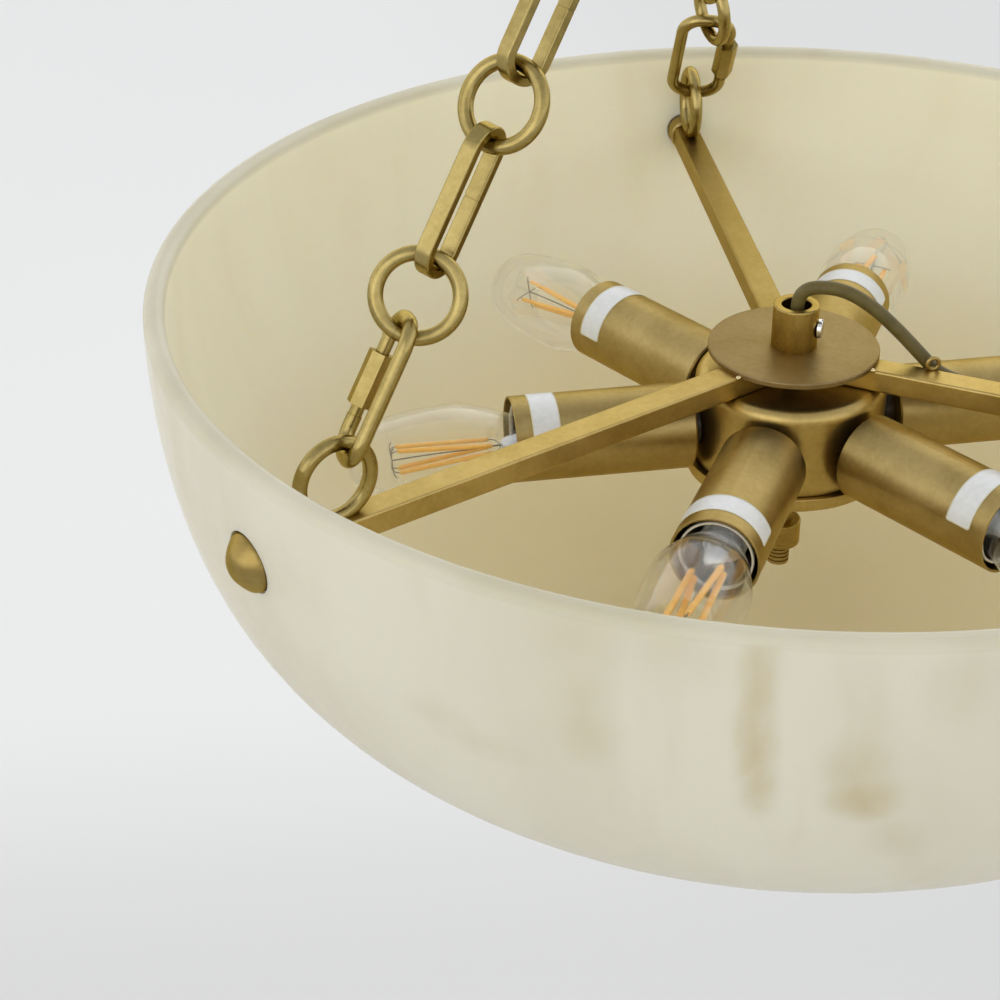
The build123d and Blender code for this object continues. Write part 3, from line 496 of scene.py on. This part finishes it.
def stick_mesh(a, b, r, flat=0.72, seg=16):
    """coated filament: a slim bar with rounded ends and a slightly flat section"""
    d = (b - a)
    L = d.length / MM
    x = d.normalized()
    y = x.cross(Vector((0.2, 0.5, 0.84))).normalized()
    z = x.cross(y)
    f = Frame(a, x, y, z)
    prof = [(0, 0)]
    for k in range(1, 5):
        t = k / 4 * math.pi / 2
        prof.append((r * (1 - math.cos(t)), r * math.sin(t)))
    n = 14
    for k in range(1, n):
        prof.append((r + (L - 2 * r) * k / n, r * (1 + 0.05 * math.sin(k * 2.3))))
    for k in range(4, 0, -1):
        t = k / 4 * math.pi / 2
        prof.append((L - r * (1 - math.cos(t)), r * math.sin(t)))
    prof.append((L, 0))
    verts, faces, rings = [], [], []
    for px, pr in prof:
        if pr < 1e-6:
            rings.append([len(verts)])
            verts.append(f.p(px))
        else:
            rings.append(list(range(len(verts), len(verts) + seg)))
            for i in range(seg):
                t = 2 * math.pi * i / seg
                verts.append(f.p(px, pr * math.cos(t), pr * flat * math.sin(t)))
    for p, q in zip(rings, rings[1:]):
        for i in range(seg):
            j = (i + 1) % seg
            if len(p) == 1:
                faces.append((p[0], q[j], q[i]))
            elif len(q) == 1:
                faces.append((p[i], p[j], q[0]))
            else:
                faces.append((p[i], p[j], q[j], q[i]))
    return verts, faces


def wires_piece(name, lines, body, mat, order=3):
    """bent wires of one thickness each, as smooth curves"""
    cu = bpy.data.curves.new(name, "CURVE")
    cu.dimensions = "3D"
    cu.bevel_depth = MM
    cu.bevel_resolution = 3
    cu.resolution_u = 6
    cu.use_fill_caps = True
    for pts, r in lines:
        sp = cu.splines.new("NURBS")
        sp.points.add(len(pts) - 1)
        for i, p in enumerate(pts):
            sp.points[i].co = (*p, 1.0)
            sp.points[i].radius = r
        sp.order_u = min(order, len(pts))
        sp.use_endpoint_u = True
    o = bpy.data.objects.new(name, cu)
    bpy.context.scene.collection.objects.link(o)
    cu.materials.append(mat)
    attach(o, body)
    return o


# ---------------------------------------------------------- inside the bulbs
for k, name in enumerate(LAMP_AZ):
    f = bulb_frame(name)
    body = f"bulb_{name}"
    turn = {"front": 0.35, "front_right": 1.1, "right": 0.2, "back": 0.9, "back_left": 0.62, "left": 0.30}[name]
    sticks, lines, tabs = [], [], []
    for q in range(4):
        mid, lean = turn + (q // 2) * math.pi, (1 if q % 2 else -1)
        a0, a1 = mid + lean * math.radians(14), mid + lean * math.radians(47)
        base, tip = f.polar(134.0, 6.6, a0), f.polar(175.6, 6.6, a1)
        sticks.append(stick_mesh(base, tip, 1.42))
        # metal ends of the bar, the lead at the foot and the spoke at the head
        lines.append(([f.p(129.5), f.polar(130.8, 3.0, a0), f.polar(131.8, 6.0, a0), f.polar(134.6, 6.6, a0)], 0.26))
        lines.append(([f.polar(175.0, 6.6, a1), f.polar(177.6, 6.5, a1), f.polar(178.2, 3.6, a1), f.p(177.8)], 0.26))
        lines.append(([f.polar(177.0, 9.0, a1), f.polar(178.1, 7.6, a1), f.polar(178.1, 5.2, a1)], 0.26))
    lines.append(([f.p(126.0), f.p(140.0, 0.3, -0.2), f.p(160.0, -0.3, 0.3), f.p(178.0)], 0.30))
    v, fc = merge(sticks)
    st = mesh_piece(f"sticks_{name}", v, fc, M["stick"], body)
    wr = wires_piece(f"support_wires_{name}", lines, body, M["wire"])

    def press(x, a, f=f):
        # the stem is pinched flat where the leads are sealed in
        t = min(1.0, max(0.0, (x - 118.0) / 8.0))
        return 1.0 + t * (0.25 * math.cos(2 * a) - 0.12)

    prof = [(110.9, 0), (110.9, 8.3), (111.6, 8.45), (112.8, 7.9), (114.4, 6.6), (116.6, 5.3), (119.5, 4.6), (123.5, 4.3), (126.6, 3.9),
            (128.6, 2.9), (129.7, 1.4), (129.9, 0)]
    v, fc = lathe(f, prof, 40, wob=press)
    sm = mesh_piece(f"glass_stem_{name}", v, fc, M["stem"], body)
    # exhaust tube and the sealed leads that show silvery in the stem
    tubes = merge([lathe(f, [(111.4, 0), (111.4, 1.7), (112, 1.9), (121, 1.8), (123.0, 1.1), (123.4, 0)], 20)])
    gt = mesh_piece(f"stem_core_{name}", tubes[0], tubes[1], M["getter"], body)
    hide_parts(f"bulb_filament_{name}")

# ------------------------------------------------- mouth rings and labels
LABEL = {"front": (-80, 74), "front_right": (-79, 78), "back_left": (-68, 88), "left": (-75, 80), "back": (-72, 82), "right": (-78, 78)}
for name in LAMP_AZ:
    f = lamp_frame(name)
    v, fc = lathe(f, [(121.6, 14.75), (122.9, 14.75), (123.25, 14.95), (123.35, 15.3), (123.2, 15.65), (122.8, 15.82), (121.6, 15.82)], 96, True)
    mesh_piece(f"holder_lip_{name}", v, fc, M["cream"], "pendant")
    t0, t1 = (math.radians(90 - LABEL[name][1]), math.radians(90 - LABEL[name][0]))
    nu, nv = 72, 10
    x0, x1, cr = 105.8, 118.2, 0.9
    verts, faces, uvs = [], [], []
    arc = (t1 - t0) * 19.05
    for layer, r in ((0, 19.01), (1, 19.12)):
        for i in range(nu + 1):
            s = arc * i / nu
            e = min(s, arc - s)
            inset = 0.0 if e > cr else cr - math.sqrt(max(0.0, cr**2 - (cr - e)**2))
            for j in range(nv + 1):
                x = x0 + inset + (x1 - x0 - 2 * inset) * j / nv
                lift = 0.0 if layer == 0 else 0.03 * math.sin(i * 0.55 + j) * math.sin(j * 0.8)
                verts.append(f.polar(x, r + lift, t0 + (t1 - t0) * i / nu))
                uvs.append((i / nu, j / nv))
    n1 = (nu + 1) * (nv + 1)

    def vid(layer, i, j):
        return layer * n1 + i * (nv + 1) + j

    for i in range(nu):
        for j in range(nv):
            faces.append((vid(1, i, j), vid(1, i + 1, j), vid(1, i + 1, j + 1), vid(1, i, j + 1)))
            faces.append((vid(0, i, j), vid(0, i, j + 1), vid(0, i + 1, j + 1), vid(0, i + 1, j)))
    for i in range(nu):
        faces.append((vid(0, i, 0), vid(0, i + 1, 0), vid(1, i + 1, 0), vid(1, i, 0)))
        faces.append((vid(0, i, nv), vid(1, i, nv), vid(1, i + 1, nv), vid(0, i + 1, nv)))
    for j in range(nv):
        faces.append((vid(0, 0, j), vid(1, 0, j), vid(1, 0, j + 1), vid(0, 0, j + 1)))
        faces.append((vid(0, nu, j), vid(0, nu, j + 1), vid(1, nu, j + 1), vid(1, nu, j)))
    mesh_piece(f"blank_label_{name}", verts, faces, M["paper"], "pendant", uvs=uvs)

# ------------------------------------------------------------ braze beads
for nm, az, off in (("left", 210.0, 6.3), ("right", 330.0, -6.3)):
    c = at(az, 37.2, off, -37.6)
    f = Frame(c, unit(az), side(az), Vector((0, 0, 1)))
    prof = [(-1.5, 0)] + [(-1.5 * math.cos(t), 1.05 * math.sin(t)) for t in [math.pi * k / 10 for k in range(1, 10)]] + [(1.5, 0)]
    v, fc = lathe(f, prof, 20, wob=lambda x, a: 1 + 0.12 * math.sin(3 * a + x) + 0.08 * math.cos(2 * x + a))
    mesh_piece(f"braze_bead_{nm}", v, fc, M["bead"], "pendant")

# ------------------------------------------------------------ supply cable
ROUTE = [(0, 0, -512), (0.1, 0, -491), (0, 0, -474.5), (1.5, -0.5, -465.6), (8.9, -3.3, -462.6), (19.7, -7.2, -463.4), (31, -11.3, -469.9),
         (41.3, -15.1, -479.2), (51.2, -18.7, -489.6), (59.8, -22.4, -498.6), (76.4, -31.6, -501), (102.2, -46.9, -500.6),
         (138.8, -67.6, -501.2), (175, -88.9, -500.6), (194.2, -97.6, -495), (211.5, -100.9, -473.5), (199.9, -93, -448.1),
         (183, -83.5, -415.5), (160.6, -110.7, -405.9), (131.2, -93.8, -349), (141.8, -63.9, -339.4), (112.4, -46.9, -282.4),
         (91.9, -71.1, -272.8), (62.5, -54.1, -215.8), (73.1, -24.2, -206.2), (43.7, -7.2, -149.3), (23.1, -31.4, -139.6),
         (26, -26, -112), (21.9, -16.1, -81), (19.5, -10.9, -52), (19.1, -11, -19.1)]
cu = bpy.data.curves.new("cable", "CURVE")
cu.dimensions = "3D"
cu.bevel_depth = 0.003
cu.bevel_resolution = 6
cu.resolution_u = 14
cu.use_fill_caps = True
sp = cu.splines.new("NURBS")
sp.points.add(len(ROUTE) - 1)
for i, p in enumerate(ROUTE):
    sp.points[i].co = (p[0] * MM, p[1] * MM, p[2] * MM, 1.0)
sp.order_u = 3
sp.use_endpoint_u = True
cable = bpy.data.objects.new("cable", cu)
bpy.context.scene.collection.objects.link(cable)
cu.materials.append(M["sheath"])
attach(cable, "pendant")
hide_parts("supply_cable")

# ------------------------------------------------------------ stage, light
FLOOR_Z = -1.75
verts, faces = [(0, 0, FLOOR_Z)], []
for ring, rad in enumerate((1.5, 4.0, 12.0, 30.0)):
    for i in range(48):
        a = 2 * math.pi * i / 48
        verts.append((rad * math.cos(a), rad * math.sin(a), FLOOR_Z))
for ring in range(4):
    for i in range(48):
        j = (i + 1) % 48
        if ring == 0:
            faces.append((0, 1 + i, 1 + j))
        else:
            a, b = 1 + (ring - 1) * 48, 1 + ring * 48
            faces.append((a + i, b + i, b + j, a + j))
me = bpy.data.meshes.new("floor")
me.from_pydata(verts, [], faces)
floor = bpy.data.objects.new("floor", me)
bpy.context.scene.collection.objects.link(floor)
t = Tree("studio_floor")
sep = t.add("ShaderNodeSeparateXYZ")
t.link(t.coord.outputs["Object"], sep.inputs[0])
# painted light and shade on the floor: lighter far off, darker near the camera and towards +X
near = t.remap(sep.outputs["Y"], 0.95, 1.55, 0.0, 1.0, True)
far = t.remap(sep.outputs["Y"], 1.5, 2.4, 0.0, 1.0, True)
painted_floor_light = t.mix(far, t.mix(near, (0.725, 0.722, 0.722), (0.862, 0.862, 0.860)), (0.868, 0.868, 0.866))
painted_floor_light = t.mix(t.remap(sep.outputs["X"], -0.1, 0.9, 0.0, 0.42, True), painted_floor_light, (0.690, 0.690, 0.690))
me.materials.append(t.set(color=t.mix(t.remap(t.noise(0.6, 2.0, 0.5), 0.3, 0.7, 0, 0.06), painted_floor_light, (0.70, 0.70, 0.71)), rough=0.9, spec=0.1))

world = bpy.data.worlds.new("studio")
bpy.context.scene.world = world
world.use_nodes = True
wt = world.node_tree
bg = wt.nodes["Background"]
bg.inputs["Color"].default_value = (0.985, 0.993, 1.0, 1.0)
# bright around the horizon like studio walls, dimmer overhead
wc = wt.nodes.new("ShaderNodeTexCoord")
ws = wt.nodes.new("ShaderNodeSeparateXYZ")
wm = wt.nodes.new("ShaderNodeMapRange")
wm.interpolation_type = "SMOOTHSTEP"
for key, v in (("From Min", 0.25), ("From Max", 0.95), ("To Min", 1.33), ("To Max", 0.68)):
    wm.inputs[key].default_value = v
wt.links.new(wc.outputs["Generated"], ws.inputs[0])
wt.links.new(ws.outputs["Z"], wm.inputs["Value"])
wt.links.new(wm.outputs["Result"], bg.inputs["Strength"])


def area(name, loc, target, size, power, color=(1, 1, 1)):
    li = bpy.data.lights.new(name, "AREA")
    li.shape = "DISK"
    li.size = size
    li.energy = power
    li.color = color
    o = bpy.data.objects.new(name, li)
    bpy.context.scene.collection.objects.link(o)
    o.location = loc
    o.rotation_mode = "QUATERNION"
    o.rotation_quaternion = (Vector(target) - Vector(loc)).to_track_quat("-Z", "Y")
    return o


area("key", (-1.7, -1.7, 0.5), (0, 0, -0.45), 2.4, 9.0, (1.0, 0.995, 0.98))
area("back", (1.1, 1.8, 1.0), (0, 0, -0.5), 2.4, 5.0, (1.0, 0.995, 0.97))

scene = bpy.context.scene
scene.view_settings.view_transform = "Standard"
scene.view_settings.look = "None"
scene.view_settings.exposure = 0.0
scene.view_settings.gamma = 1.0
